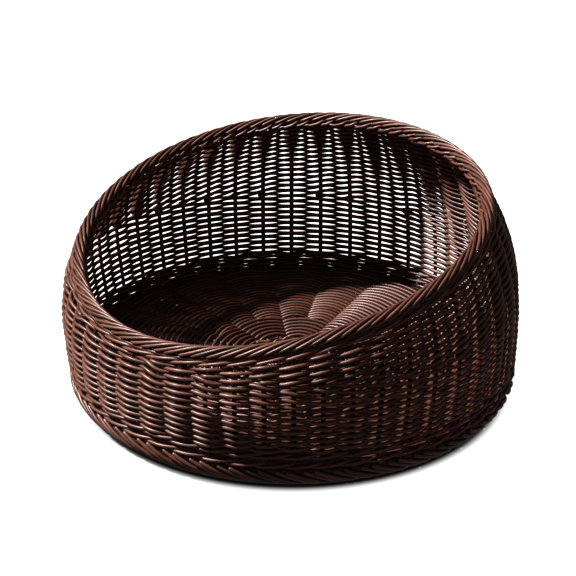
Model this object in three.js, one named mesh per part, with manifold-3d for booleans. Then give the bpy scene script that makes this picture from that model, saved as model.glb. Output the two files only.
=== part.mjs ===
// Round pet bed basket: a barrel-shaped wall woven on paired side stakes round a woven floor,
// with a low entrance at the front, a high back that leans inwards, a rolled rim and a foot border.
//
// Frame: millimetres, +Z up, origin at the middle of the foot's underside.
// The low entrance faces -Y and the high back is at +Y. Azimuths run from +X towards +Y.
import * as THREE from "three";
import { ParametricGeometry } from "three/addons/geometries/ParametricGeometry.js";
import { mergeVertices } from "three/addons/utils/BufferGeometryUtils.js";
import Module from "manifold-3d";

const wasm = await Module();
wasm.setup();

// ---- Driving dimensions -------------------------------------------------------------------

const GAP = 0.3; // clearance where two pieces meet

const RIM_HEIGHT = 198; // mean height of the rim's centre line
const RIM_TILT = 56; // how far the back rises, and the front drops, from that mean
const RIM_DIP = 5.3; // how much the sides rise above the plain tilt
const RIM_RADIUS = 222.5; // mean radius of the rim's centre line
const RIM_SETBACK = 19.7; // how far the high back leans in and the low front stays out
const RIM_OVAL = 10.1; // how much wider the opening is than it is deep
const RIM_LEAN = 0.64; // how steeply the wall leans in where it meets the rim, mm per mm
const ROLL_RADIUS = 7.75; // the rolled border's own radius

const FOOT_MID_RADIUS = 226; // middle of the wall where it would meet the ground
const BULGE_MID_RADIUS = 245.3; // middle of the wall at its widest
const BULGE_HEIGHT = 24.5; // height at which the wall turns upright
const FOOT_CURVE = 1.67; // exponent of the lower wall's rounding

const WEAVE_THICKNESS = 9.9; // front strand, stake and back strand
const WALE_THICKNESS = 12; // the three-rod wale stands proud of the weave on both sides
const FOOT_THICKNESS = 16;
const FOOT_HEIGHT = 20.7;
const WALE_TOP = 45;

const FLOOR_SPOKES = 22;
const STICKS_BELOW = 5; // sticks of the cross that lie underneath
const STICKS_ABOVE = 6; // sticks of the cross that lie on top
const STICK_RADIUS = 2.2;
const STICK_PITCH = 4.8;
const FLOOR_BOTTOM = FOOT_HEIGHT + GAP;
const FLOOR_TOP = 31.4;
const FLOOR_EYE_RADIUS = 50; // the weave starts here, outside the crossing of the sticks
const FLOOR_RADIUS = 237.6;
const FIRST_SPOKE = 8.1; // azimuth of one floor spoke, degrees

const STAKE_PAIRS = 44;
const FIRST_STAKE = 86.3; // azimuth of the first pair of side stakes if all stood evenly, degrees
const STAKE_DRIFT = 5.9; // stakes set by eye stand wider apart at the back than at the front
const DRIFT_NODE = 101; // azimuth where that drift is nil
const STAKE_WAVER = 3.4; // and wider apart at the back and front than at the sides
const WAVER_NODE = 70; // azimuth where that waver is nil
const STAKE_THICKNESS = 2.4;
const STAKE_PAIR_WIDTH = 5.2;

const RING_STEPS = 66; // facets round each ring
const WALL_STEPS = 5; // facets up the wall

// ---- Materials ----------------------------------------------------------------------------

function resin(color, roughness) {
  return new THREE.MeshStandardMaterial({ color, roughness, metalness: 0 });
}

const WEAVE_RESIN = resin(0x4a2c1f, 0.38);
const BORDER_RESIN = resin(0x54331f, 0.34);
const STAKE_RESIN = resin(0x2e1c14, 0.5);

// ---- Shape of the wall --------------------------------------------------------------------

const rimHeight = (a) => RIM_HEIGHT + RIM_TILT * Math.sin(a) + RIM_DIP * Math.cos(2 * a);
const rimRadius = (a) => RIM_RADIUS - RIM_SETBACK * Math.sin(a) + RIM_OVAL * Math.cos(2 * a);

// Radius of the middle of the wall at one azimuth and height.
function midRadius(azimuth, z) {
  if (z < BULGE_HEIGHT) {
    const short = (1 - z / BULGE_HEIGHT) ** FOOT_CURVE;
    return BULGE_MID_RADIUS - (BULGE_MID_RADIUS - FOOT_MID_RADIUS) * short;
  }
  const rise = rimHeight(azimuth) - BULGE_HEIGHT;
  const u = (z - BULGE_HEIGHT) / rise;
  const towardsRim = u * u * (3 - 2 * u);
  const lean = u * u * (1 - u) * rise * RIM_LEAN;
  return BULGE_MID_RADIUS * (1 - towardsRim) + rimRadius(azimuth) * towardsRim + lean;
}

// Point [radius, height] at a distance outside the middle of the wall, measured square to it.
function wallPoint(azimuth, z, outside) {
  const step = 0.5;
  const slope = (midRadius(azimuth, z + step) - midRadius(azimuth, z - step)) / (2 * step);
  const length = Math.hypot(1, slope);
  return [midRadius(azimuth, z) + outside / length, z - (outside * slope) / length];
}

const weaveTop = (azimuth) => rimHeight(azimuth) - ROLL_RADIUS + 2 * GAP;

function heights(from, to, steps) {
  return Array.from({ length: steps + 1 }, (_, i) => from + ((to - from) * i) / steps);
}

// ---- Geometry helpers ---------------------------------------------------------------------

function positionsOnly(geometry) {
  geometry.deleteAttribute("normal");
  geometry.deleteAttribute("uv");
  return mergeVertices(geometry, 1e-4);
}

// A closed ring round the Z axis. section(azimuth) gives its outline there as [radius, height]
// points, anticlockwise when seen with the radius to the right and the height upwards.
function ring(section) {
  const corners = section(0).length;
  const surface = (u, v, target) => {
    const azimuth = 2 * Math.PI * u;
    const [radius, height] = section(azimuth)[Math.round(v * corners) % corners];
    target.set(radius * Math.cos(azimuth), radius * Math.sin(azimuth), height);
  };
  return positionsOnly(new ParametricGeometry(surface, RING_STEPS, corners));
}

function solidOf(geometry) {
  const merged = positionsOnly(geometry);
  return new wasm.Manifold(
    new wasm.Mesh({
      numProp: 3,
      vertProperties: merged.attributes.position.array,
      triVerts: new Uint32Array(merged.index.array),
    }),
  );
}

function geometryOf(solid) {
  const { numProp, numVert, vertProperties, triVerts } = solid.getMesh();
  const positions = new Float32Array(numVert * 3);
  for (let i = 0; i < numVert; i++) {
    positions.set(vertProperties.subarray(i * numProp, i * numProp + 3), i * 3);
  }
  return new THREE.BufferGeometry()
    .setAttribute("position", new THREE.BufferAttribute(positions, 3))
    .setIndex(new THREE.BufferAttribute(triVerts, 1));
}

function cut(geometry, cutters) {
  return geometryOf(cutters.reduce((solid, cutter) => solid.subtract(cutter), solidOf(geometry)));
}

// A path through its points in straight stretches, one extrusion step for each stretch.
class Polyline extends THREE.Curve {
  constructor(points) {
    super();
    this.points = points;
  }
  getPoint(t, target = new THREE.Vector3()) {
    const last = this.points.length - 1;
    const i = Math.min(Math.floor(t * last), last - 1);
    return target.lerpVectors(this.points[i], this.points[i + 1], t * last - i);
  }
  getPointAt(u, target) {
    return this.getPoint(u, target);
  }
  getTangentAt(u, target) {
    return this.getTangent(u, target);
  }
}

// ---- Side stakes --------------------------------------------------------------------------

// Azimuth of one pair, shifted from even spacing by the drift and the waver.
function stakeAzimuth(i) {
  const even = THREE.MathUtils.degToRad(FIRST_STAKE) + (2 * Math.PI * i) / STAKE_PAIRS;
  const drift = STAKE_DRIFT * Math.sin(even - THREE.MathUtils.degToRad(DRIFT_NODE));
  const waver = STAKE_WAVER * Math.sin(2 * (even - THREE.MathUtils.degToRad(WAVER_NODE)));
  return even + THREE.MathUtils.degToRad(drift + waver);
}

const stakeAzimuths = Array.from({ length: STAKE_PAIRS }, (_, i) => stakeAzimuth(i));

// The point as far beyond the end of a path as the path's last two points are apart, times share.
function beyond(last, previous, share) {
  return last.map((value, i) => value + (value - previous[i]) * share);
}

// A pair of stakes as one bar up the middle of the wall. With a clearance it is the channel
// that the pair runs in, which goes on past both ends of the bar.
function stakeBar(azimuth, clearance) {
  const half = STAKE_THICKNESS / 2 + clearance;
  const width = STAKE_PAIR_WIDTH + 2 * clearance;
  const overrun = clearance > 0 ? 0.15 : 0;
  const levels = heights(FLOOR_BOTTOM + GAP, weaveTop(azimuth) - 2 * GAP, WALL_STEPS);
  const side = (outside) => {
    const points = levels.map((z) => wallPoint(azimuth, z, outside));
    const [first, second] = points;
    const [previous, last] = points.slice(-2);
    if (overrun === 0) return points;
    return [beyond(first, second, overrun), ...points, beyond(last, previous, overrun)];
  };
  const outline = [...side(half), ...side(-half).reverse()];
  const shape = new THREE.Shape(outline.map(([radius, z]) => new THREE.Vector2(radius, z)));
  return new THREE.ExtrudeGeometry(shape, { depth: width, bevelEnabled: false })
    .translate(0, 0, -width / 2)
    .rotateX(Math.PI / 2)
    .rotateZ(azimuth);
}

const stakeChannels = stakeAzimuths.map((azimuth) => solidOf(stakeBar(azimuth, GAP)));

// ---- Wall, wale, foot and rim -------------------------------------------------------------

// The weave starts level on top of the wale and ends square to the wall under the rim.
function wallWeave() {
  const bottom = WALE_TOP + GAP;
  const band = ring((azimuth) => {
    const levels = heights(bottom, weaveTop(azimuth), WALL_STEPS);
    const side = (outside) => {
      const points = levels.map((z) => wallPoint(azimuth, z, outside));
      return [[points[0][0], bottom], ...points.slice(1)];
    };
    return [...side(WEAVE_THICKNESS / 2), ...side(-WEAVE_THICKNESS / 2).reverse()];
  });
  return cut(band, stakeChannels);
}

// The wale's rods are wound level, so its underside and its top are flat.
function upsettWale() {
  const outline = (azimuth) => {
    const inside = (z) => [midRadius(azimuth, z) - WALE_THICKNESS / 2, z];
    const outside = (z) => [midRadius(azimuth, z) + WALE_THICKNESS / 2, z];
    const bottom = FOOT_HEIGHT + GAP;
    return [outside(bottom), outside(WALE_TOP), inside(WALE_TOP), inside(bottom)];
  };
  return cut(ring(outline), stakeChannels);
}

function footBorder() {
  const levels = heights(0, FOOT_HEIGHT, 3);
  const outside = (azimuth, z) => midRadius(azimuth, z) + WEAVE_THICKNESS / 2;
  return ring((azimuth) => [
    ...levels.map((z) => [outside(azimuth, z), z]),
    [outside(azimuth, FOOT_HEIGHT) - FOOT_THICKNESS, FOOT_HEIGHT],
    [outside(azimuth, 0) - FOOT_THICKNESS, 0],
  ]);
}

function rimBorder() {
  const sides = 8;
  return ring((azimuth) =>
    Array.from({ length: sides }, (_, i) => {
      const turn = (2 * Math.PI * (i + 0.5)) / sides;
      return [
        rimRadius(azimuth) + ROLL_RADIUS * Math.cos(turn),
        rimHeight(azimuth) + ROLL_RADIUS * Math.sin(turn),
      ];
    }),
  );
}

// ---- Floor --------------------------------------------------------------------------------

const FLOOR_MIDDLE = (FLOOR_BOTTOM + FLOOR_TOP) / 2;
const spokeAzimuth = (i) =>
  THREE.MathUtils.degToRad(FIRST_SPOKE) + (2 * Math.PI * i) / FLOOR_SPOKES;

// The woven disc round the crossing, with a straight channel for every spoke.
function floorWeave() {
  const channelSides = 8;
  const channelRadius = (STICK_RADIUS + GAP) / Math.cos(Math.PI / channelSides);
  const channels = Array.from({ length: FLOOR_SPOKES }, (_, i) =>
    solidOf(
      new THREE.CylinderGeometry(channelRadius, channelRadius, FLOOR_RADIUS, channelSides)
        .rotateZ(Math.PI / 2)
        .translate(FLOOR_RADIUS / 2 + FLOOR_EYE_RADIUS / 2, 0, FLOOR_MIDDLE)
        .rotateZ(spokeAzimuth(i)),
    ),
  );
  const disc = ring(() => [
    [FLOOR_RADIUS, FLOOR_BOTTOM],
    [FLOOR_RADIUS, FLOOR_TOP],
    [FLOOR_EYE_RADIUS, FLOOR_TOP],
    [FLOOR_EYE_RADIUS, FLOOR_BOTTOM],
  ]);
  return cut(disc, channels);
}

// One floor stick: two opposite spokes joined by the straight stretch that crosses the others.
// It leaves the crossing at its own level and fans out to the middle of the weave.
function floorStick(spoke, crossAzimuth, place, level) {
  const crossHalf = 15;
  const fanRadii = [24, 33, 44, FLOOR_EYE_RADIUS - 1, FLOOR_RADIUS - 2 * GAP];
  const along = new THREE.Vector3(Math.cos(crossAzimuth), Math.sin(crossAzimuth), 0);
  const across = new THREE.Vector3(-along.y, along.x, 0);
  const start = (end) =>
    along
      .clone()
      .multiplyScalar(end * crossHalf)
      .addScaledVector(across, place * STICK_PITCH)
      .setZ(FLOOR_MIDDLE + level);
  // The spoke at the other end of the stick is the mirror image of this one across the middle.
  const fan = (end) => {
    const turned = spokeAzimuth(spoke) - crossAzimuth;
    const direction = along
      .clone()
      .multiplyScalar(end * Math.cos(turned))
      .addScaledVector(across, Math.sin(turned));
    const from = start(end);
    return fanRadii.map((radius, i) => {
      const target = direction.clone().multiplyScalar(radius).setZ(FLOOR_MIDDLE);
      const share = THREE.MathUtils.smoothstep((i + 1) / 3, 0, 1);
      const straight = from.clone().addScaledVector(along, end * (radius - crossHalf));
      return straight.lerp(target, share);
    });
  };
  const path = [...fan(-1).reverse(), start(-1), start(1), ...fan(1)];
  const round = new THREE.Shape().absarc(0, 0, STICK_RADIUS, 0, 2 * Math.PI);
  return new THREE.ExtrudeGeometry(round, {
    extrudePath: new Polyline(path),
    steps: path.length - 1,
    curveSegments: 4,
  });
}

// Five sticks one way under six sticks the other way: each stick ends in two opposite spokes.
function floorSticks() {
  const sticks = [];
  const layer = (count, firstSpoke, level, name) => {
    const middle = spokeAzimuth(firstSpoke + (count - 1) / 2);
    for (let i = 0; i < count; i++) {
      const place = i - (count - 1) / 2;
      const number = String(i + 1).padStart(2, "0");
      const geometry = floorStick(firstSpoke + i, middle, place, level);
      sticks.push([`${name}_${number}`, geometry]);
    }
  };
  const level = STICK_RADIUS + GAP / 2;
  layer(STICKS_BELOW, 0, -level, "floor_stick_lower");
  layer(STICKS_ABOVE, STICKS_BELOW, level, "floor_stick_upper");
  return sticks;
}

// ---- Assembly -----------------------------------------------------------------------------

const group = new THREE.Group();

function add(name, geometry, material) {
  const mesh = new THREE.Mesh(geometry, material);
  mesh.name = name;
  group.add(mesh);
}

for (const [name, geometry] of floorSticks()) add(name, geometry, STAKE_RESIN);
add("floor_weave", floorWeave(), WEAVE_RESIN);
add("foot_border", footBorder(), BORDER_RESIN);
add("upsett_wale", upsettWale(), BORDER_RESIN);
stakeAzimuths.forEach((azimuth, i) => {
  add(`side_stakes_${String(i + 1).padStart(2, "0")}`, stakeBar(azimuth, 0), STAKE_RESIN);
});
add("wall_weave", wallWeave(), WEAVE_RESIN);
add("rim_border", rimBorder(), BORDER_RESIN);

export default group;
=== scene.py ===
"""Round pet bed basket, woven from dark brown round resin strand.

Every strand is a round tube that follows its real path: the wall's weaver in front of one pair of
side stakes and behind the next, the three-rod wale, the rolled border, the foot border and the
woven floor. Lengths are in millimetres and angles in radians, unless a comment or a name says
otherwise.
"""

import math

import bpy
import numpy as np
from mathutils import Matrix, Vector


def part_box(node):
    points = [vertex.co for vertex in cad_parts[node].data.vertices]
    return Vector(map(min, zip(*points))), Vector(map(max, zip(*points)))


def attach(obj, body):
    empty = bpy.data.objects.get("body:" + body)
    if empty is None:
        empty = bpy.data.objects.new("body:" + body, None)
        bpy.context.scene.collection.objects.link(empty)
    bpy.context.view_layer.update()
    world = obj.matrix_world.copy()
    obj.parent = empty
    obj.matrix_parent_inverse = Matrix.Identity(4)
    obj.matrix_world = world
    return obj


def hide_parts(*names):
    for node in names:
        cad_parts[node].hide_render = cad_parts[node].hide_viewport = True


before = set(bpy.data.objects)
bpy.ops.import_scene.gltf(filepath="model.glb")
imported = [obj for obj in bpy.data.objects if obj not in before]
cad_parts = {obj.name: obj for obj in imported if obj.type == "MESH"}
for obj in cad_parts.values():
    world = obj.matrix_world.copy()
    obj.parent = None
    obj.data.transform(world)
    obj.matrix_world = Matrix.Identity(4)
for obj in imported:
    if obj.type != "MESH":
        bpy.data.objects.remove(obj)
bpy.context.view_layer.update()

MM = 0.001
SEED = 42
rng = np.random.default_rng(SEED)

# ---- Driving dimensions ------------------------------------------------------------------------

RIM_HEIGHT = 198.0
RIM_TILT = 56.0
RIM_DIP = 5.3
RIM_RADIUS = 222.5
RIM_SETBACK = 19.7
RIM_OVAL = 10.1
RIM_LEAN = 0.64
ROLL_RADIUS = 7.75
FOOT_MID_RADIUS = 226.0
BULGE_MID_RADIUS = 245.3
BULGE_HEIGHT = 24.5
FOOT_CURVE = 1.67
HALF_WEAVE = 4.95  # from the middle of the wall to its outer face

STAKE_PAIRS = 44
STAKE_RADIUS = 1.28
STAKE_HALF_GAP = 1.26  # from the middle of a pair to the middle of each of its two rods

WEAVER_RADIUS = 1.8
WEAVER_SWELL = 0.44  # added to the weaver's radius at a stake pair, and not midway between two
ROW_PITCH = 3.56
WEAVE_BOTTOM = 48.2
FIXED_ROWS = 11  # level rows that keep exactly to their pitch
YIELDING_ROWS = 10  # level rows above them that give way a little to the packing

RIM_STRAND_RADIUS = 1.75
# The seam ring closes the gap under the roll. Its dark core colour is painted shade for the shaded
# seam.
SEAM_RADIUS = 2.4  # dark filling between the weave and the roll

WALE_RADIUS = 1.85
WALE_HEIGHTS = (35.3, 45.0)  # middles of the two rounds of wale above the foot
WALE_SETTLING = (3.5, 1.8)  # how much lower each round is where the foot has settled
INNER_ROD_SETTLING = 2.6
WALE_CLIMB = 2.3
RIM_WALE_DROP = 2.4  # from the top of the weave down to the middle of the wale under the rim
RIM_WALE_CLIMB = 1.9
RIM_WALE_MARGIN = 1.8  # between the lowest reach of that wale's middle and the top row

FOOT_STRAND_RADIUS = 2.2
FOOT_TOP = 30.5
FOOT_SETTLED_ABOVE = 6.0  # the foot is level below this height
FOOT_SETTLING = 5.5
FOOT_CORE_SETTLING = 5.0

STAKE_BOTTOM = 22.0
STAKE_INTO_RIM = 3.0

FLOOR_SPOKES = 22
FLOOR_SPOKE_PAIRS = FLOOR_SPOKES // 2
FIRST_SPOKE = math.radians(8.1)
STICKS_BELOW = 5
STICKS_ABOVE = 6
STICK_RADIUS = 2.2
STICK_PITCH = 4.8
FLOOR_MIDDLE = 26.2
FLOOR_EYE_RADIUS = 50.0
PAIRED_ZONE_RADIUS = 100.0
FLOOR_RADIUS = 236.0
PAIRED_PITCH = 4.12
PAIRED_WEAVER_RADIUS = 1.95
SINGLE_PITCH = 3.35  # beside the paired zone, growing outwards
SINGLE_PITCH_GROWTH = 0.0046

# ---- Camera, light and floor -------------------------------------------------------------------

CAMERA_TARGET = Vector((-3.0, -3.7, 115.1)) * MM
CAMERA_AZIMUTH = math.radians(-38.8)
CAMERA_ELEVATION = math.radians(25.4)
CAMERA_DISTANCE = 2.143  # metres
CAMERA_LENS_MM = 120.6

KEY_AZIMUTH = math.radians(225)
KEY_ELEVATION = math.radians(47.8)
KEY_STRENGTH = 6.8
KEY_SOFTNESS = math.radians(3.5)
FILL_STRENGTH = 0.19

PAPER_HALF_WIDTH = 12.0  # metres, as are the two distances below
# Painted contact shadow: within this radius the paper gives off no light, and it fades in round
# the basket's foot.
PAPER_DARK_WITHIN = 0.232  # the paper gives off no light under the basket
PAPER_BRIGHT_BEYOND = 0.247
PAPER_GLOW = 0.76

# ---- Irregularity ------------------------------------------------------------------------------

THICKNESS_RANGE = (0.97, 1.02)  # share of a strand's radius
RIM_THICKNESS_RANGE = (0.96, 1.03)
SWING_RANGE = (0.94, 1.05)  # share of a row's swing in and out
ROW_HEIGHT_DRIFT = 0.16
ROW_SWING_DRIFT = 0.12
WALE_HEIGHT_DRIFT = 0.2
FLOOR_DRIFT = 0.15
PLACE_SCATTER = 0.02  # in stake spacings


def toward(azimuth, elevation):
    """The direction from the basket to something at this azimuth and elevation."""
    level = math.cos(elevation)
    return Vector((level * math.cos(azimuth), level * math.sin(azimuth), math.sin(elevation)))


def aim(obj, direction):
    """Turns an object so that it looks along the direction."""
    obj.rotation_euler = direction.to_track_quat("-Z", "Y").to_euler()


def add_camera():
    data = bpy.data.cameras.new("camera")
    data.lens = CAMERA_LENS_MM
    data.sensor_width = 36.0
    data.clip_end = 50.0
    camera = bpy.data.objects.new("camera", data)
    bpy.context.scene.collection.objects.link(camera)
    away = toward(CAMERA_AZIMUTH, CAMERA_ELEVATION)
    camera.location = CAMERA_TARGET + away * CAMERA_DISTANCE
    aim(camera, -away)
    bpy.context.scene.camera = camera


def add_key_light():
    data = bpy.data.lights.new("key", "SUN")
    data.energy = KEY_STRENGTH
    data.angle = KEY_SOFTNESS
    light = bpy.data.objects.new("key", data)
    bpy.context.scene.collection.objects.link(light)
    away = toward(KEY_AZIMUTH, KEY_ELEVATION)
    light.location = away * 3.0
    aim(light, -away)


def add_fill_light():
    world = bpy.data.worlds.new("studio")
    bpy.context.scene.world = world
    world.use_nodes = True
    fill = world.node_tree.nodes["Background"]
    fill.inputs["Color"].default_value = (1, 1, 1, 1)
    fill.inputs["Strength"].default_value = FILL_STRENGTH


def add_studio_floor():
    """White paper that glows round the basket and is dark under it: a painted contact shadow. It
    doesn't light the basket."""
    half = PAPER_HALF_WIDTH
    mesh = bpy.data.meshes.new("studio_floor")
    corners = [(-half, -half, 0), (half, -half, 0), (half, half, 0), (-half, half, 0)]
    mesh.from_pydata(corners, [], [(0, 1, 2, 3)])
    floor = bpy.data.objects.new("studio_floor", mesh)
    bpy.context.scene.collection.objects.link(floor)
    floor.visible_diffuse = False
    floor.visible_glossy = False
    mesh.materials.append(glowing_paper())


def glowing_paper():
    paper = bpy.data.materials.new("studio_paper")
    paper.use_nodes = True
    shader = paper.node_tree.nodes["Principled BSDF"]
    shader.inputs["Base Color"].default_value = (0.2, 0.2, 0.2, 1)
    shader.inputs["Roughness"].default_value = 1.0
    shader.inputs["Specular IOR Level"].default_value = 0.0
    shader.inputs["Emission Color"].default_value = (1, 1, 1, 1)
    nodes, links = paper.node_tree.nodes, paper.node_tree.links
    place = nodes.new("ShaderNodeTexCoord")
    distance = nodes.new("ShaderNodeVectorMath")
    distance.operation = "LENGTH"
    links.new(place.outputs["Object"], distance.inputs[0])
    # Painted contact shadow: no glow under the basket, full glow beyond its foot.
    glow = nodes.new("ShaderNodeMapRange")
    glow.interpolation_type = "SMOOTHSTEP"
    glow.inputs["From Min"].default_value = PAPER_DARK_WITHIN
    glow.inputs["From Max"].default_value = PAPER_BRIGHT_BEYOND
    glow.inputs["To Max"].default_value = PAPER_GLOW
    links.new(distance.outputs["Value"], glow.inputs["Value"])
    links.new(glow.outputs["Result"], shader.inputs["Emission Strength"])
    return paper


def add_studio():
    bpy.context.scene.view_settings.view_transform = "Standard"
    bpy.context.scene.view_settings.look = "High Contrast"
    add_fill_light()
    add_key_light()
    add_studio_floor()


# ---- Materials ---------------------------------------------------------------------------------

TONE_SHARE = 0.45  # of a strand's own tone beside the grain's full share
GRAIN_ALONG = 0.12  # grain per millimetre along a strand, which draws the grain out lengthwise
GRAIN_AROUND = 1.6
GRAIN_DEPTH = 0.0002  # metres


def resin(name, dark, light, roughness, coat):
    """Extruded resin strand: each strand has its own tone, with fine lengthwise grain."""
    material = bpy.data.materials.new(name)
    material.use_nodes = True
    nodes = material.node_tree.nodes
    links = material.node_tree.links
    shader = nodes["Principled BSDF"]

    tone = nodes.new("ShaderNodeAttribute")
    tone.attribute_name = "tone"
    grain_at = nodes.new("ShaderNodeAttribute")
    grain_at.attribute_name = "grain"

    mottle = nodes.new("ShaderNodeTexNoise")
    mottle.inputs["Scale"].default_value = 1.0
    mottle.inputs["Detail"].default_value = 3.0
    links.new(grain_at.outputs["Vector"], mottle.inputs["Vector"])

    mixed = nodes.new("ShaderNodeMath")
    mixed.operation = "MULTIPLY_ADD"
    mixed.inputs[1].default_value = TONE_SHARE
    links.new(tone.outputs["Fac"], mixed.inputs[0])
    links.new(mottle.outputs["Fac"], mixed.inputs[2])

    ramp = nodes.new("ShaderNodeValToRGB")
    ramp.color_ramp.elements[0].position = 0.35
    ramp.color_ramp.elements[0].color = (*dark, 1)
    ramp.color_ramp.elements[1].position = 1.0
    ramp.color_ramp.elements[1].color = (*light, 1)
    links.new(mixed.outputs["Value"], ramp.inputs["Fac"])
    links.new(ramp.outputs["Color"], shader.inputs["Base Color"])

    rough = nodes.new("ShaderNodeMapRange")
    rough.inputs["To Min"].default_value = roughness - 0.06
    rough.inputs["To Max"].default_value = roughness + 0.08
    links.new(mottle.outputs["Fac"], rough.inputs["Value"])
    links.new(rough.outputs["Result"], shader.inputs["Roughness"])

    bump = nodes.new("ShaderNodeBump")
    bump.inputs["Strength"].default_value = 0.1
    bump.inputs["Distance"].default_value = GRAIN_DEPTH
    links.new(mottle.outputs["Fac"], bump.inputs["Height"])
    links.new(bump.outputs["Normal"], shader.inputs["Normal"])
    shader.inputs["Coat Weight"].default_value = coat
    shader.inputs["Coat Roughness"].default_value = 0.22
    return material


# ---- Shape of the wall, as in the CAD ----------------------------------------------------------


def rim_height(a):
    return RIM_HEIGHT + RIM_TILT * np.sin(a) + RIM_DIP * np.cos(2 * a)


def rim_radius(a):
    return RIM_RADIUS - RIM_SETBACK * np.sin(a) + RIM_OVAL * np.cos(2 * a)


def mid_radius(a, z):
    """Radius of the middle of the wall: a bulge low down, leaning in to the rim above it."""
    short = np.clip(1 - z / BULGE_HEIGHT, 0, None)
    low = BULGE_MID_RADIUS - (BULGE_MID_RADIUS - FOOT_MID_RADIUS) * short**FOOT_CURVE
    rise = rim_height(a) - BULGE_HEIGHT
    u = np.clip((z - BULGE_HEIGHT) / rise, 0, None)
    toward_rim = u * u * (3 - 2 * u)
    lean = u * u * (1 - u) * rise * RIM_LEAN
    high = BULGE_MID_RADIUS * (1 - toward_rim) + rim_radius(a) * toward_rim + lean
    return np.where(z < BULGE_HEIGHT, low, high)


def smooth_step(t):
    t = np.clip(t, 0, 1)
    return t * t * (3 - 2 * t)


def polar(a, radius, z):
    a, radius, z = np.broadcast_arrays(a, radius, z)
    return np.stack([radius * np.cos(a), radius * np.sin(a), z], -1)


def wall_point(a, z, outside):
    """Points at a distance outside the middle of the wall, measured square to it."""
    slope = mid_radius(a, z + 0.5) - mid_radius(a, z - 0.5)
    length = np.hypot(1, slope)
    return polar(a, mid_radius(a, z) + outside / length, z - outside * slope / length)


def weave_top(a):
    return rim_height(a) - ROLL_RADIUS + 0.6


def outward(a):
    return polar(a, 1.0, 0.0)


def foot_settling(a):
    """How far the top of the foot has settled: 0 left of the low front and at the back, and 1
    on the right."""
    turn = np.mod(np.degrees(a) + 90.0, 360.0)
    return smooth_step((turn - 8.0) / 34.0) * (1 - smooth_step((turn - 110.0) / 60.0))


# ---- Stake places ------------------------------------------------------------------------------
# Stake 0 is the first one past the low front as the azimuth rises, and place 1.5 is midway
# between stakes 1 and 2.


def stake_node(i):
    return f"side_stakes_{i + 1:02d}"


def node_azimuth(node):
    low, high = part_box(node)
    return math.atan2(low.y + high.y, low.x + high.x)


def order_stakes():
    """CAD names and rising azimuths of the stakes, from the low front once round."""
    front = -math.pi / 2
    found = sorted(
        ((node_azimuth(stake_node(i)) - front) % (2 * math.pi), stake_node(i))
        for i in range(STAKE_PAIRS)
    )
    names = [name for _, name in found]
    azimuths = np.array([front + turn for turn, _ in found])
    return names, np.append(azimuths, azimuths[0] + 2 * math.pi)


STAKE_NAMES, STAKE_AZIMUTHS = order_stakes()


def azimuth_at(place):
    turns, within = np.divmod(place, STAKE_PAIRS)
    return np.interp(within, np.arange(STAKE_PAIRS + 1), STAKE_AZIMUTHS) + 2 * math.pi * turns


# ---- Strands -----------------------------------------------------------------------------------


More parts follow.
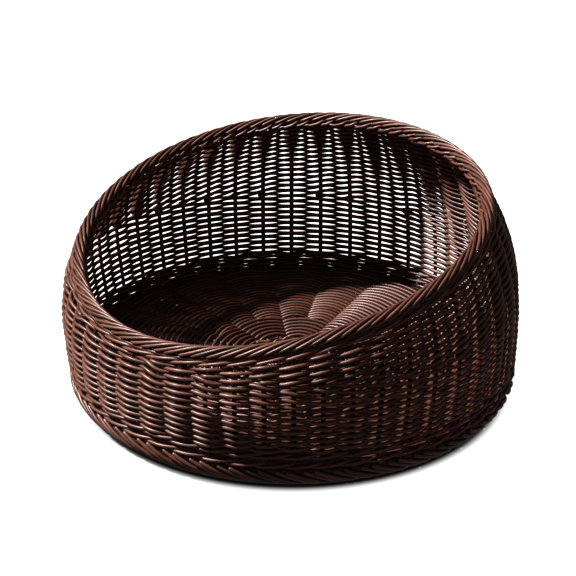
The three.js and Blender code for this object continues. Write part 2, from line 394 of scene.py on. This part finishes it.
class Strands:
    """Collects round strands, each a closed tube, into one mesh."""

    def __init__(self, sides=8):
        self.sides = sides
        self.points = []
        self.quads = []
        self.fans = []
        self.tones = []
        self.grains = []
        self.count = 0

    def add(self, path, radius, guide, closed=False, tone=None):
        """A strand along the path. guide is a direction, or one for each point, that isn't
        along the path. A strand without a tone is given one at random."""
        path = np.asarray(path, float)
        radius = np.broadcast_to(np.asarray(radius, float), len(path)).copy()
        guide = np.broadcast_to(np.asarray(guide, float), path.shape)
        if not closed:
            path, radius, guide = self._round_ends(path, radius, guide)
        count = len(path)
        if closed:
            tangent = np.roll(path, -1, 0) - np.roll(path, 1, 0)
        else:
            tangent = np.gradient(path, axis=0)
        tangent /= np.linalg.norm(tangent, axis=1, keepdims=True)
        normal = guide - tangent * np.sum(guide * tangent, 1, keepdims=True)
        normal /= np.linalg.norm(normal, axis=1, keepdims=True)
        binormal = np.cross(tangent, normal)
        turn = 2 * np.pi * np.arange(self.sides) / self.sides
        around = (
            np.cos(turn)[None, :, None] * normal[:, None]
            + np.sin(turn)[None, :, None] * binormal[:, None]
        )
        ring = path[:, None] + radius[:, None, None] * around

        i = np.arange(count if closed else count - 1)[:, None]
        j = np.arange(self.sides)[None, :]
        after, beside = (i + 1) % count, (j + 1) % self.sides
        corners = [i * self.sides + j, i * self.sides + beside,
                   after * self.sides + beside, after * self.sides + j]
        base = self.count
        quads = np.stack(np.broadcast_arrays(*corners), -1).reshape(-1, 4)
        self.quads.append(quads + base)
        points = ring.reshape(-1, 3)

        along = np.cumsum(np.linalg.norm(np.diff(path, axis=0, prepend=path[:1]), axis=1))
        shift = rng.uniform(0, 1000)
        grain = np.stack(np.broadcast_arrays(
            (along[:, None] + shift) * GRAIN_ALONG,
            GRAIN_AROUND * np.cos(turn)[None],
            GRAIN_AROUND * np.sin(turn)[None],
        ), -1).reshape(-1, 3)
        if not closed:
            ends = np.stack([path[0], path[-1]])
            first = np.full(self.sides, base + len(points))
            k = np.arange(self.sides)
            k2 = (k + 1) % self.sides
            top = base + (count - 1) * self.sides
            self.fans.append(np.stack([first, base + k2, base + k], -1))
            self.fans.append(np.stack([first + 1, top + k, top + k2], -1))
            points = np.concatenate([points, ends])
            grain = np.concatenate([grain, grain[:1], grain[-1:]])
        self.points.append(points)
        self.grains.append(grain)
        value = rng.uniform(0, 1) if tone is None else tone
        self.tones.append(np.full(len(points), value))
        self.count += len(points)

    @staticmethod
    def _round_ends(path, radius, guide):
        """Adds a short dome at both ends."""
        out_first = path[0] - path[1]
        out_last = path[-1] - path[-2]
        out_first = out_first / np.linalg.norm(out_first)
        out_last = out_last / np.linalg.norm(out_last)
        angles = np.radians([40.0, 75.0])
        head = [path[0] + out_first * radius[0] * s for s in np.sin(angles)[::-1]]
        tail = [path[-1] + out_last * radius[-1] * s for s in np.sin(angles)]
        path = np.concatenate([head, path, tail])
        ends = np.cos(angles)
        radius = np.concatenate([radius[0] * ends[::-1], radius, radius[-1] * ends])
        guide = np.concatenate([guide[:1], guide[:1], guide, guide[-1:], guide[-1:]])
        return path, radius, guide

    def to_object(self, name, material):
        points = np.concatenate(self.points) * MM
        quads = np.concatenate(self.quads)
        fans = np.concatenate(self.fans) if self.fans else np.zeros((0, 3), int)
        mesh = bpy.data.meshes.new(name)
        mesh.vertices.add(len(points))
        mesh.vertices.foreach_set("co", points.astype(np.float32).ravel())
        mesh.loops.add(quads.size + fans.size)
        corner = np.concatenate([quads.ravel(), fans.ravel()]).astype(np.int32)
        mesh.loops.foreach_set("vertex_index", corner)
        sizes = np.concatenate([np.full(len(quads), 4), np.full(len(fans), 3)])
        mesh.polygons.add(len(sizes))
        starts = np.concatenate([[0], np.cumsum(sizes)[:-1]]).astype(np.int32)
        mesh.polygons.foreach_set("loop_start", starts)
        mesh.polygons.foreach_set("use_smooth", np.ones(len(sizes), bool))
        mesh.update(calc_edges=True)
        tone = mesh.attributes.new("tone", "FLOAT", "POINT")
        tone.data.foreach_set("value", np.concatenate(self.tones).astype(np.float32))
        grain = mesh.attributes.new("grain", "FLOAT_VECTOR", "POINT")
        grain.data.foreach_set("vector", np.concatenate(self.grains).astype(np.float32).ravel())
        mesh.materials.append(material)
        piece = bpy.data.objects.new(name, mesh)
        bpy.context.scene.collection.objects.link(piece)
        return piece


def finish_piece(piece, slot, *nodes):
    """Puts a piece on the one body, in the place of its CAD nodes. The slot is not used."""
    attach(piece, "root")
    if nodes:
        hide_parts(*nodes)


def wander(place, period, amount):
    """A slow irregular drift along a strand, which repeats after the period."""
    total = np.zeros_like(place)
    for waves in (3, 7, 13):
        phase = rng.uniform(0, 2 * math.pi)
        total += np.sin(2 * np.pi * waves * place / period + phase)
    return total * amount / 2


# ---- Wall weave --------------------------------------------------------------------------------

PER_STAKE = 12  # points of a strand between one stake pair and the next
PLACES = np.arange(STAKE_PAIRS * PER_STAKE) / PER_STAKE
WEAVE_SWING = STAKE_RADIUS + WEAVER_RADIUS + WEAVER_SWELL


def woven_wave(angle, power):
    """A cosine raised to a power with its sign kept. Below 1 it stays longer at its two sides."""
    wave = np.cos(angle)
    return np.sign(wave) * np.abs(wave) ** power


def swing(place, row):
    """Offset of the weaver from the middle of the wall: in front of one pair, behind the next."""
    side = -1 if row % 2 == 0 else 1
    return side * WEAVE_SWING * woven_wave(np.pi * place, 0.9)


def fullness(place):
    """Radius of the weaver, which the packing squeezes between the stakes."""
    return WEAVER_RADIUS + WEAVER_SWELL * np.cos(np.pi * place) ** 2


def add_level_row(strands, row, heights):
    a = azimuth_at(PLACES)
    z = heights + wander(PLACES, STAKE_PAIRS, ROW_HEIGHT_DRIFT)
    out = swing(PLACES, row) * rng.uniform(*SWING_RANGE)
    out = out + wander(PLACES, STAKE_PAIRS, ROW_SWING_DRIFT)
    radius = fullness(PLACES) * rng.uniform(*THICKNESS_RANGE)
    strands.add(wall_point(a, z, out), radius, outward(a), closed=True)


class Packing:
    """The rows between the fixed level rows and the rim. Level rows come first, then pairs of
    short rows that turn back round a stake, so that the back is built up higher than the front."""

    def __init__(self):
        self.bottom = WEAVE_BOTTOM + FIXED_ROWS * ROW_PITCH
        azimuths = azimuth_at(PLACES)
        steps = np.linspace(0, 1, 60)
        top = weave_top(azimuths) - RIM_WALE_DROP - RIM_WALE_CLIMB - RIM_WALE_MARGIN
        self.z_grid = self.bottom + (top - self.bottom)[:, None] * steps
        radius = mid_radius(azimuths[:, None], self.z_grid)
        piece = np.hypot(np.diff(radius, axis=1), np.diff(self.z_grid, axis=1))
        self.arc = np.concatenate([np.zeros((len(top), 1)), np.cumsum(piece, 1)], 1)
        self.room = self.arc[:, -1] / ROW_PITCH - YIELDING_ROWS
        self.spans = self._spans()
        self.weights = np.array([self._weight(*span) for span in self.spans])
        self.heights = self._heights()

    def _spans(self):
        """First and last stake of each short row, from the row under the rim downwards."""
        at_stakes = self.room[::PER_STAKE]
        spans = []
        pair = 0
        while True:
            wide = np.nonzero(at_stakes >= 2 * pair + 1)[0]
            if len(wide) < 3:
                return spans
            spans += [(wide[0], wide[-1])] * 2
            pair += 1

    @staticmethod
    def _weight(first, last):
        """The room that a short row takes at each place, as a share of a row."""
        reach, taper = 0.4, 0.8
        rising = smooth_step((PLACES - (first - reach)) / taper)
        falling = smooth_step(((last + reach) - PLACES) / taper)
        return np.minimum(rising, falling)

    def _heights(self):
        """Height of every row at every place, from the lowest yielding level row upwards."""
        weights = np.concatenate([np.ones((YIELDING_ROWS, len(PLACES))), self.weights[::-1]])
        total = weights.sum(0)
        middles = (np.cumsum(weights, 0) - weights / 2) / total * self.arc[:, -1]
        return np.array([
            np.interp(middles[:, s], self.arc[s], self.z_grid[s]) for s in range(len(PLACES))
        ]).T

    def add_short_row(self, strands, index):
        """Row number index from the top, with its two ends turned round their stakes."""
        first, last = self.spans[index]
        row = FIXED_ROWS + YIELDING_ROWS + len(self.spans) - 1 - index
        heights = self.heights[YIELDING_ROWS + len(self.spans) - 1 - index]
        place = np.arange(first * PER_STAKE, last * PER_STAKE + 1) / PER_STAKE
        z = heights[first * PER_STAKE:last * PER_STAKE + 1]
        z = z + wander(place, STAKE_PAIRS, ROW_HEIGHT_DRIFT)
        out = swing(place, row) * rng.uniform(*SWING_RANGE)
        drop = -ROW_PITCH / 2 if index % 2 == 0 else ROW_PITCH / 2
        turn = np.radians([30.0, 60.0, 90.0])
        overshoot = 0.13  # stake spacings past the last stake
        reach = overshoot * np.sin(turn)
        place = np.concatenate([first - reach[::-1], place, last + reach])
        fall = drop * (1 - np.cos(turn))
        z = np.concatenate([z[0] + fall[::-1], z, z[-1] + fall])
        out = np.concatenate([out[0] * np.cos(turn)[::-1], out, out[-1] * np.cos(turn)])
        a = azimuth_at(place)
        radius = fullness(place) * rng.uniform(*THICKNESS_RANGE)
        strands.add(wall_point(a, z, out), radius, outward(a))


def make_wall_weave(material):
    packing = Packing()
    level = Strands()
    for row in range(FIXED_ROWS):
        height = WEAVE_BOTTOM + (row + 0.5) * ROW_PITCH
        add_level_row(level, row, np.full(len(PLACES), height))
    for i in range(YIELDING_ROWS):
        add_level_row(level, FIXED_ROWS + i, packing.heights[i])
    finish_piece(level.to_object("wall_weave_level_rows", material), "weave_resin", "wall_weave")
    short = Strands()
    for index in range(len(packing.spans)):
        packing.add_short_row(short, index)
    finish_piece(short.to_object("wall_weave_short_rows", material), "weave_resin")


# ---- Side stakes -------------------------------------------------------------------------------


def make_side_stakes(material):
    for i, name in enumerate(STAKE_NAMES):
        a = STAKE_AZIMUTHS[i]
        across = np.array([-math.sin(a), math.cos(a), 0.0])
        z = np.linspace(STAKE_BOTTOM, weave_top(a) + STAKE_INTO_RIM, 24)
        middle = wall_point(np.full(len(z), a), z, 0.0)
        pair = Strands()
        for side in (-1, 1):
            pair.add(middle + across * side * STAKE_HALF_GAP, STAKE_RADIUS, across)
        finish_piece(pair.to_object(name + "_rods", material), "stake_resin", name)


# ---- Wale --------------------------------------------------------------------------------------


def add_wale(strands, middle, climb, shift):
    """One round of wale with three rods. A rod runs in front of one pair, rising, and falls
    again behind the next two. As 44 isn't a multiple of 3, the three rods join into one strand
    that goes round three times. middle gives the height of the round at an azimuth."""
    rods = 3
    half_stroke = 0.63  # in stake spacings
    grip = 1.2  # a little less than a stake's radius, so that the rods press on the stakes
    place = np.arange(rods * STAKE_PAIRS * PER_STAKE) / PER_STAKE
    phase = np.mod(place - shift + half_stroke, rods) - half_stroke
    out = (grip + WALE_RADIUS) * (4 * np.cos(2 * np.pi * phase / rods) - 1) / 3
    turns_at = (-half_stroke, half_stroke, rods - half_stroke)
    rise = np.interp(phase, turns_at, (-climb, climb, -climb))
    rise = sum(np.roll(rise, k) for k in (-2, -1, 0, 1, 2)) / 5
    a = azimuth_at(place)
    z = middle(a) + rise + wander(place, rods * STAKE_PAIRS, WALE_HEIGHT_DRIFT)
    strands.add(wall_point(a, z, out), WALE_RADIUS, outward(a), closed=True)


def settled(height, settling):
    """A height as a function of azimuth, lower by the settling where the foot has settled."""
    return lambda a: height - settling * foot_settling(a)


def make_upsett_wale(material):
    """Two rounds of wale, and a plain rod inside the stakes that closes the slot between them."""
    strands = Strands()
    for i, (height, settling) in enumerate(zip(WALE_HEIGHTS, WALE_SETTLING)):
        add_wale(strands, settled(height, settling), WALE_CLIMB, 0.3 - 0.1 * i)
    a = azimuth_at(PLACES)
    between = settled(sum(WALE_HEIGHTS) / 2, INNER_ROD_SETTLING)(a)
    inner_rod = wall_point(a, between, -STAKE_RADIUS - WALE_RADIUS)
    strands.add(inner_rod, WALE_RADIUS, outward(a), closed=True)
    finish_piece(strands.to_object("upsett_wale_rods", material), "border_resin", "upsett_wale")


def make_rim_wale(material):
    strands = Strands()
    add_wale(strands, lambda a: weave_top(a) - RIM_WALE_DROP, RIM_WALE_CLIMB, 0.27)
    finish_piece(strands.to_object("rim_wale_rods", material), "border_resin")


# ---- Rolled border -----------------------------------------------------------------------------


def rim_point(a, turn, radius):
    return polar(a, rim_radius(a) + radius * np.cos(turn), rim_height(a) + radius * np.sin(turn))


def make_rim_border(material, core_material):
    """Two strands for each stake pair wind about three quarters of the way round the roll, out,
    over and in. They dip under the next ones on the inside and end below them."""
    strands = Strands()
    winding = 4.0  # stake spacings in one full turn
    extra_winding = 2.2  # added past the groove
    first = -42.0  # degrees of turn where a strand comes out of the seam
    groove = 182.0  # degrees of turn where it dips under the next ones
    seam_depth, seam_turn = 3.0, 24.0  # it starts this deep, for this many degrees
    dip_depth, dip_turn = 2.2, 7.0
    tail_rise, rise_turn = 3.4, 20.0
    seat = ROLL_RADIUS - RIM_STRAND_RADIUS
    for i in range(2 * STAKE_PAIRS):
        start = i / 2 + (0.25 if i % 2 else 0.18)
        tail = 40.0 if i % 2 else 52.0
        degrees = np.arange(first, groove + tail, 4.0)
        past = np.clip(degrees - groove, 0, None)
        place = start + (winding * (degrees - first) + extra_winding * past) / 360.0
        a = azimuth_at(place + rng.uniform(-PLACE_SCATTER, PLACE_SCATTER))
        dip = dip_depth * np.exp(-(((degrees - groove) / dip_turn) ** 2))
        emerge = seam_depth * (1 - smooth_step((degrees - first) / seam_turn))
        rise = tail_rise * smooth_step(past / rise_turn)
        turn = np.radians(degrees)
        path = rim_point(a, turn, seat - dip - emerge + rise)
        guide = path - rim_point(a, turn, 0.0)
        strands.add(path, RIM_STRAND_RADIUS * rng.uniform(*RIM_THICKNESS_RANGE), guide)
    finish_piece(strands.to_object("rim_border_strands", material), "border_resin", "rim_border")

    core = Strands(sides=12)
    a = azimuth_at(PLACES)
    core_radius = ROLL_RADIUS - 2 * RIM_STRAND_RADIUS
    core.add(rim_point(a, 0.0, 0.0), core_radius, outward(a), closed=True)
    # The seam ring closes the gap under the roll. Its dark core colour is painted shade for the
    # shaded seam there.
    seam = polar(a, mid_radius(a, weave_top(a)), weave_top(a) + 1.3)
    core.add(seam, SEAM_RADIUS, outward(a), closed=True)
    finish_piece(core.to_object("rim_border_core", core_material), "stake_resin")


# ---- Foot border -------------------------------------------------------------------------------


def foot_section(steps):
    """The course of a strand in section, down the outside, under, and up the inside: distances
    outside the middle of the wall, heights, and lengths from its start."""
    outer = [(HALF_WEAVE - FOOT_STRAND_RADIUS, z) for z in np.linspace(FOOT_TOP, 10.0, 10)]
    under = [(1.6, 7.0), (-0.8, 5.0), (-4.3, 4.2), (-7.8, 5.0)]
    inner = [(-9.8, 8.5), (-10.0, 14.0)]
    points = np.array(outer + under + inner)
    length = np.concatenate([[0], np.cumsum(np.hypot(*np.diff(points, axis=0).T))])
    s = np.linspace(0, length[-1], steps)
    return np.interp(s, length, points[:, 0]), np.interp(s, length, points[:, 1]), s


def foot_height(a, z, settling):
    """Height at an azimuth of something that would be at z if the foot hadn't settled."""
    share = np.clip((z - FOOT_SETTLED_ABOVE) / (FOOT_TOP - FOOT_SETTLED_ABOVE), 0, 1)
    return z - settling * foot_settling(a) * share


def make_foot_border(material, core_material):
    """Two strands for each stake pair slant down round the foot and in underneath it."""
    strands = Strands()
    outside, z, s = foot_section(32)
    slant = 2.1  # millimetres round the foot for one millimetre down
    stake_spacing = 34.0  # the mean along the foot, near enough
    for i in range(2 * STAKE_PAIRS):
        start = i // 2 - (0.2 if i % 2 else 0.58) + rng.uniform(-PLACE_SCATTER, PLACE_SCATTER)
        a = azimuth_at(start + s * slant / stake_spacing)
        height = foot_height(a, z, FOOT_SETTLING)
        path = polar(a, mid_radius(a, height) + outside, height)
        radius = FOOT_STRAND_RADIUS * rng.uniform(*THICKNESS_RANGE)
        strands.add(path, radius, outward(a) - (0, 0, 0.4))
    finish_piece(strands.to_object("foot_border_strands", material), "border_resin", "foot_border")

    core = Strands(sides=12)
    a = azimuth_at(PLACES)
    rings = (  # height, distance inside the middle of the wall, radius
        (28.8, 2.4, 3.0),
        (24.5, 2.4, 3.2),
        (18.5, 2.8, 3.4),
        (12.0, 3.4, 3.4),
        # The lowest ring is the foot's base. In the dark core colour it shows as a dark band below
        # the strands, which stands in for the contact shadow under the foot: painted shade.
        (2.6, 1.5, 2.5),
    )
    for z, inside, radius in rings:
        height = foot_height(a, z, FOOT_CORE_SETTLING)
        ring = polar(a, mid_radius(a, height) - inside, height)
        core.add(ring, radius, outward(a), closed=True)
    finish_piece(core.to_object("foot_border_core", core_material), "stake_resin")


# ---- Floor -------------------------------------------------------------------------------------


def spoke_azimuth(i):
    return FIRST_SPOKE + 2 * math.pi * i / FLOOR_SPOKES


def floor_stick_path(spoke, cross_azimuth, place, level):
    """Two opposite spokes and the straight stretch between them that crosses the other sticks."""
    cross_half = 15.0  # half of the straight stretch
    radii = np.array([24.0, 33.0, 44.0, FLOOR_EYE_RADIUS - 1, FLOOR_RADIUS])  # it fans out here
    along = polar(cross_azimuth, 1.0, 0.0)
    across = np.array([-along[1], along[0], 0.0])
    up = np.array([0, 0, 1.0])
    turned = spoke_azimuth(spoke) - cross_azimuth

    def start(end):
        height = FLOOR_MIDDLE + level
        return along * end * cross_half + across * place * STICK_PITCH + up * height

    def fan(end):
        direction = along * end * math.cos(turned) + across * end * math.sin(turned)
        share = smooth_step((np.arange(len(radii)) + 1) / 3)[:, None]
        straight = start(end) + along * end * (radii - cross_half)[:, None]
        target = direction * radii[:, None] + up * FLOOR_MIDDLE
        return straight * (1 - share) + target * share

    corners = np.concatenate([fan(-1)[::-1], [start(-1), start(1)], fan(1)])
    length = np.concatenate([[0], np.cumsum(np.linalg.norm(np.diff(corners, axis=0), axis=1))])
    s = np.linspace(0, length[-1], 160)
    path = np.stack([np.interp(s, length, corners[:, k]) for k in range(3)], -1)
    for _ in range(6):
        path[1:-1] = (path[:-2] + 2 * path[1:-1] + path[2:]) / 4
    return path


def make_floor_sticks(material):
    clearance = 0.15
    level = STICK_RADIUS + clearance
    layers = (
        ("floor_stick_lower", STICKS_BELOW, 0, -level),
        ("floor_stick_upper", STICKS_ABOVE, STICKS_BELOW, level),
    )
    for prefix, count, first_spoke, height in layers:
        middle = spoke_azimuth(first_spoke + (count - 1) / 2)
        for i in range(count):
            place = i - (count - 1) / 2
            stick = Strands(sides=10)
            path = floor_stick_path(first_spoke + i, middle, place, height)
            stick.add(path, STICK_RADIUS, (0, 0, 1.0))
            node = f"{prefix}_{i + 1:02d}"
            finish_piece(stick.to_object(node + "_rod", material), "stick_resin", node)


def make_outer_floor_weave(material):
    """Further out the weaver takes the spokes singly, in closed rounds."""
    single = Strands()
    turn = 2 * np.pi * np.arange(FLOOR_SPOKES * PER_STAKE) / (FLOOR_SPOKES * PER_STAKE)
    lift = (STICK_RADIUS + WEAVER_RADIUS) * woven_wave(turn * FLOOR_SPOKES / 2, 0.8)
    zone = FLOOR_RADIUS - PAIRED_ZONE_RADIUS
    fuller = 0.3  # added to the weaver's radius at the outer edge
    r = PAIRED_ZONE_RADIUS + SINGLE_PITCH / 2
    side = -1
    while r < FLOOR_RADIUS:
        path = polar(turn + FIRST_SPOKE, r + wander(turn, 2 * math.pi, FLOOR_DRIFT), 0.0)
        path[:, 2] = FLOOR_MIDDLE + side * lift
        radius = WEAVER_RADIUS + fuller * (r - PAIRED_ZONE_RADIUS) / zone
        single.add(path, radius * rng.uniform(*THICKNESS_RANGE), (0, 0, 1.0), closed=True)
        r += SINGLE_PITCH + SINGLE_PITCH_GROWTH * (r - PAIRED_ZONE_RADIUS)
        side = -side
    finish_piece(single.to_object("floor_weave_outer", material), "weave_resin", "floor_weave")


def add_binding(strands):
    """The binding of the crossing: three rounds over one group of sticks and under the other,
    then rounds that begin to part the sticks."""
    rounds, crossing_rounds = 8, 3
    first_radius, pitch, strand_radius = 22.0, 3.5, 1.6
    ring = 2 * np.pi * np.arange(240) / 240
    cross = spoke_azimuth((STICKS_BELOW - 1) / 2)
    for row in range(rounds):
        r = first_radius + pitch * row
        if row < crossing_rounds:
            level = 1.9 * np.cos(2 * (ring - cross))
        else:
            parted = (ring - FIRST_SPOKE + math.pi / FLOOR_SPOKES) * FLOOR_SPOKE_PAIRS
            level = (2.2 + 0.3 * row) * (np.cos(parted) * (-1) ** row)
        path = polar(ring, r, FLOOR_MIDDLE + level)
        strands.add(path, strand_radius, (0, 0, 1.0), closed=True)


def make_inner_floor_weave(material):
    """Round the crossing one weaver takes the spokes in pairs. Its tail lies on top, in the
    lightest tone as a painted highlight for the glint on it.
    """
    paired = Strands()
    turns = (PAIRED_ZONE_RADIUS - FLOOR_EYE_RADIUS) / PAIRED_PITCH
    turn = np.arange(0, turns * 2 * np.pi, 2 * np.pi / (FLOOR_SPOKE_PAIRS * 20))
    over = STICK_RADIUS + PAIRED_WEAVER_RADIUS
    lift = over * woven_wave(turn * FLOOR_SPOKE_PAIRS / 2, 0.6)
    r = FLOOR_EYE_RADIUS + PAIRED_PITCH * (turn / (2 * np.pi) + 0.5)
    path = polar(turn + FIRST_SPOKE - math.pi / FLOOR_SPOKES, r, FLOOR_MIDDLE + lift)
    paired.add(path, PAIRED_WEAVER_RADIUS, (0, 0, 1.0))

    tail_azimuths = np.radians(np.linspace(-162.0, -175.0, 8))
    # The tail's lightest tone is a painted highlight that stands in for the glint of the key light
    # on it.
    tail_height, tail_radius, painted_glint_tone = 34.2, 2.3, 1.0
    tail = polar(tail_azimuths, np.linspace(47.0, 38.0, 8), tail_height)
    paired.add(tail, tail_radius, (0, 0, 1.0), tone=painted_glint_tone)
    add_binding(paired)
    finish_piece(paired.to_object("floor_weave_inner", material), "weave_resin")


# ---- Assembly ----------------------------------------------------------------------------------

add_camera()
add_studio()

weave_resin = resin("weave_resin_look", (0.054, 0.020, 0.012), (0.146, 0.062, 0.042), 0.48, 0.12)
border_resin = resin("border_resin_look", (0.058, 0.022, 0.013), (0.152, 0.065, 0.044), 0.46, 0.12)
stake_resin = resin("stake_resin_look", (0.030, 0.010, 0.006), (0.080, 0.030, 0.018), 0.45, 0.1)

make_wall_weave(weave_resin)
make_side_stakes(stake_resin)
make_upsett_wale(border_resin)
make_rim_wale(border_resin)
make_rim_border(border_resin, stake_resin)
make_foot_border(border_resin, stake_resin)
make_floor_sticks(stake_resin)
make_outer_floor_weave(weave_resin)
make_inner_floor_weave(weave_resin)
